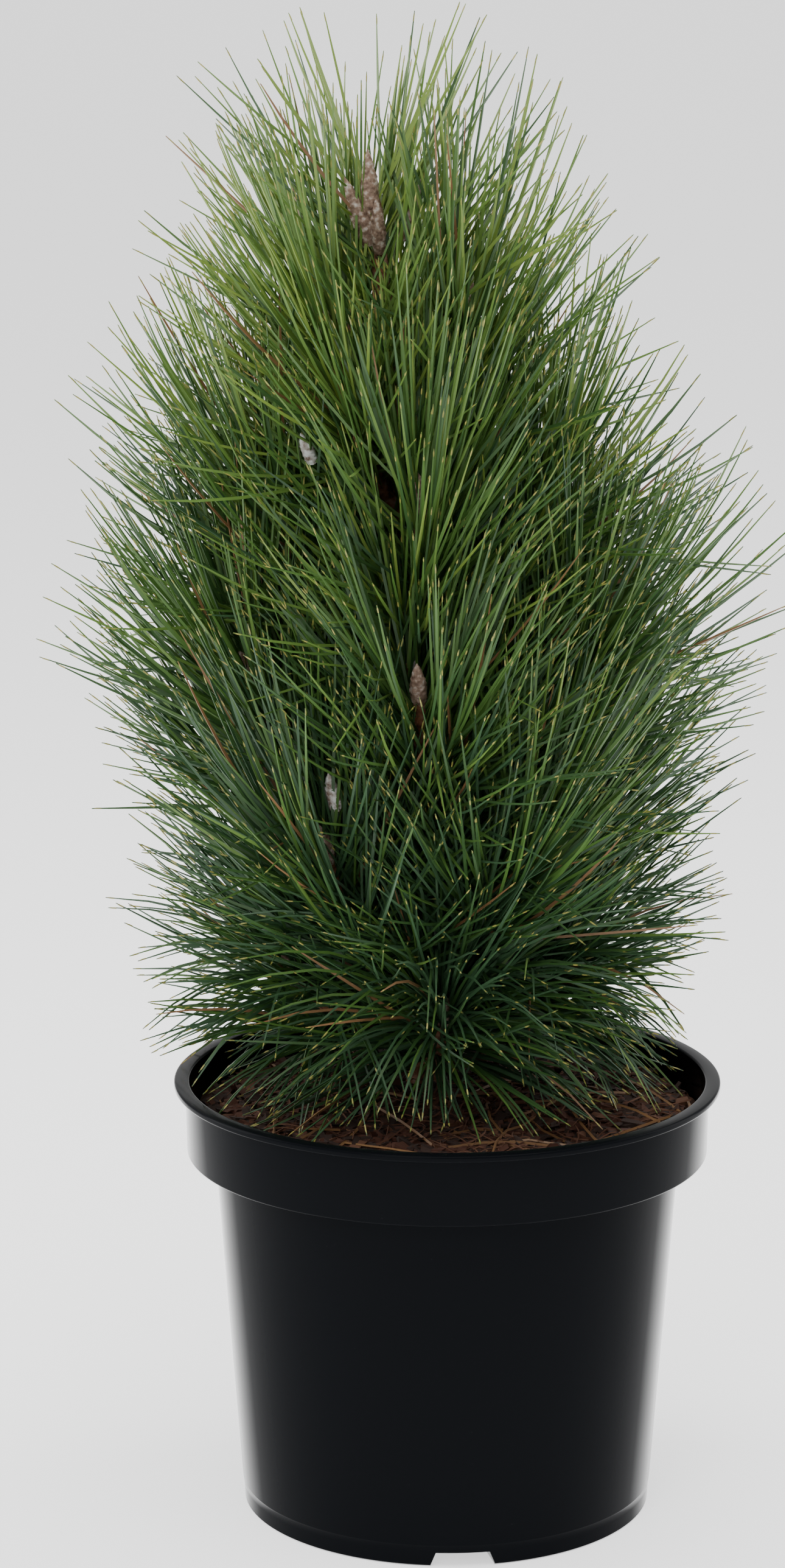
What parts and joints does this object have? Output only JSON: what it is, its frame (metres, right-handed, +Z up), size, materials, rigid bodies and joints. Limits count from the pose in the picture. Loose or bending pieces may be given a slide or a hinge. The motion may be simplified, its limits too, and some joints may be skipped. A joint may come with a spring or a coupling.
{
  "type": "potted long-needled pine",
  "caption": "Young upright pine with long needles on upswept boughs, standing in a round black nursery pot filled with bark mix.",
  "frame": {"origin": "on the pot's axis, at the flat underside of the pot", "axes": "+Z up along the pot's axis; -Y faces the viewer of the picture"},
  "size_m": [0.2933, 0.2983, 0.6319],
  "materials": {
    "pot_plastic": "moulded black plastic, glossy, with faint dust and scuffs",
    "bark_chips": "moist red-brown bark chips and fibres, matt",
    "bark": "young scaly bark, orange-brown with grey flakes",
    "needles": "fresh to blue-green needles with yellow tips, slight waxy sheen"
  },
  "bodies": {
    "root": {"bough_high_back": "bark", "bough_high_front_left": "bark", "bough_high_right": "bark", "bough_low_back": "bark", "bough_low_front": "bark", "bough_low_left": "bark", "bough_low_right": "bark", "bough_lower_back": "bark", "bough_lower_front_left": "bark", "bough_lower_front_right": "bark", "bough_lower_left": "bark", "bough_lower_right": "bark", "bough_middle_back_left": "bark", "bough_middle_back_right": "bark", "bough_middle_front": "bark", "bough_middle_left": "bark", "bough_middle_right": "bark", "bough_upper_back": "bark", "bough_upper_front": "bark", "bough_upper_left": "bark", "bough_upper_right": "bark", "needles_high_back": "needles", "needles_high_front_left": "needles", "needles_high_right": "needles", "needles_leader": "needles", "needles_low_back": "needles", "needles_low_front": "needles", "needles_low_left": "needles", "needles_low_right": "needles", "needles_lower_back": "needles", "needles_lower_front_left": "needles", "needles_lower_front_right": "needles", "needles_lower_left": "needles", "needles_lower_right": "needles", "needles_middle_back_left": "needles", "needles_middle_back_right": "needles", "needles_middle_front": "needles", "needles_middle_left": "needles", "needles_middle_right": "needles", "needles_upper_back": "needles", "needles_upper_front": "needles", "needles_upper_left": "needles", "needles_upper_right": "needles", "pot": "pot_plastic", "soil": "bark_chips", "trunk": "bark"}
  },
  "joints": []
}
